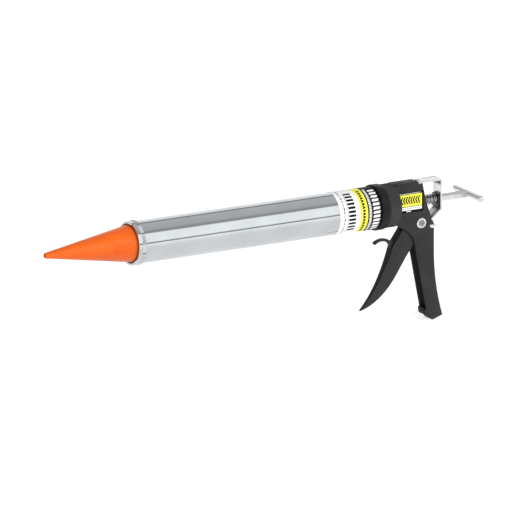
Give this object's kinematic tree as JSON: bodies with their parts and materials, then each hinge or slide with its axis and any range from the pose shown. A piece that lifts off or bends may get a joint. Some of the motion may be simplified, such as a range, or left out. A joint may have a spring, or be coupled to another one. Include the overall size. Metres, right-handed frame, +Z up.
{
  "type": "caulking gun",
  "caption": "Bulk caulking gun: polished tube with cone nozzle and ring cap, black channel grip with squeeze trigger, thumb release and pull rod.",
  "frame": {"origin": "centre of the nozzle's outlet, on the axis of barrel and rod", "axes": "+X along the barrel from the outlet back to the pull handle, +Z up away from the grip, Y across the grip"},
  "size_m": [0.576, 0.062, 0.1731],
  "materials": {
    "nozzle_plastic": "satin moulded orange polyethylene",
    "polished_aluminium": "polished",
    "gasket_rubber": "matt black",
    "label_print": "printed film: white, yellow and black bands",
    "black_collar": "black, fine ribbed grip",
    "black_casting": "black powder coat on cast aluminium",
    "nylon": "natural nylon",
    "spring_steel": "plain drawn spring wire",
    "bush_bronze": "sintered bronze",
    "bright_steel": "bright drawn steel",
    "plated_steel": "bright zinc plated",
    "dark_steel": "hardened and oiled"
  },
  "bodies": {
    "handle": {"handle_housing": "black_casting", "side_label": "label_print", "front_bush": "bush_bronze", "retaining_ring": "spring_steel", "pivot_bolt": "bright_steel", "pivot_nut": "bright_steel", "pivot_washers": "bright_steel", "pivot_bush": "plated_steel", "rear_frame": "plated_steel", "frame_screw": "plated_steel", "drive_spring": "spring_steel", "brake_spring": "spring_steel"},
    "barrel": {"barrel_tube": "polished_aluminium", "barrel_label": "label_print", "rear_collar": "black_collar", "swivel_washer": "nylon"},
    "nozzle": {"nozzle": "nozzle_plastic", "nozzle_gasket": "gasket_rubber"},
    "cap": {"front_cap": "polished_aluminium"},
    "trigger": {"trigger": "black_casting", "trigger_roller": "plated_steel", "roller_pin": "plated_steel"},
    "drive": {"drive_plates": "dark_steel"},
    "release": {"release_lever": "plated_steel"},
    "rod": {"rod": "bright_steel", "t_bar": "bright_steel", "piston_nut": "plated_steel", "piston_front_washer": "plated_steel", "piston_cup": "gasket_rubber", "piston_rear_washer": "plated_steel"}
  },
  "joints": [
    {"name": "barrel_swivel", "type": "hinge", "parent": "handle", "child": "barrel", "pos_m": [0.46, 0, 0], "axis": [1, 0, 0], "continuous": true},
    {"name": "nozzle_release", "type": "slide", "parent": "barrel", "child": "nozzle", "axis": [-1, 0, 0], "range_m": [0, 0.06]},
    {"name": "cap_turn", "type": "hinge", "parent": "nozzle", "child": "cap", "pos_m": [0.117, 0, 0], "axis": [1, 0, 0], "continuous": true},
    {"name": "trigger_pull", "type": "hinge", "parent": "handle", "child": "trigger", "pos_m": [0.50238, 0, -0.0249], "axis": [0, -1, 0], "range_deg": [0, 32], "stiffness_Nm_per_rad": 0.5, "springref_deg": -17.19},
    {"name": "drive_slide", "type": "slide", "parent": "handle", "child": "drive", "axis": [-1, 0, 0], "range_m": [0, 0.0088], "deforming": ["drive_spring"]},
    {"name": "release_press", "type": "hinge", "parent": "handle", "child": "release", "pos_m": [0.52808, 0, 0.0062], "axis": [0, 1, 0], "range_deg": [0, 5], "stiffness_Nm_per_rad": 1, "springref_deg": -2.86, "deforming": ["brake_spring"]},
    {"name": "rod_slide", "type": "slide", "parent": "handle", "child": "rod", "axis": [1, 0, 0], "range_m": [0, 0.3]}
  ],
  "couplings": [
    {"joint": "drive_slide", "follows": "trigger_pull", "m_per_rad": 0.01556}
  ]
}
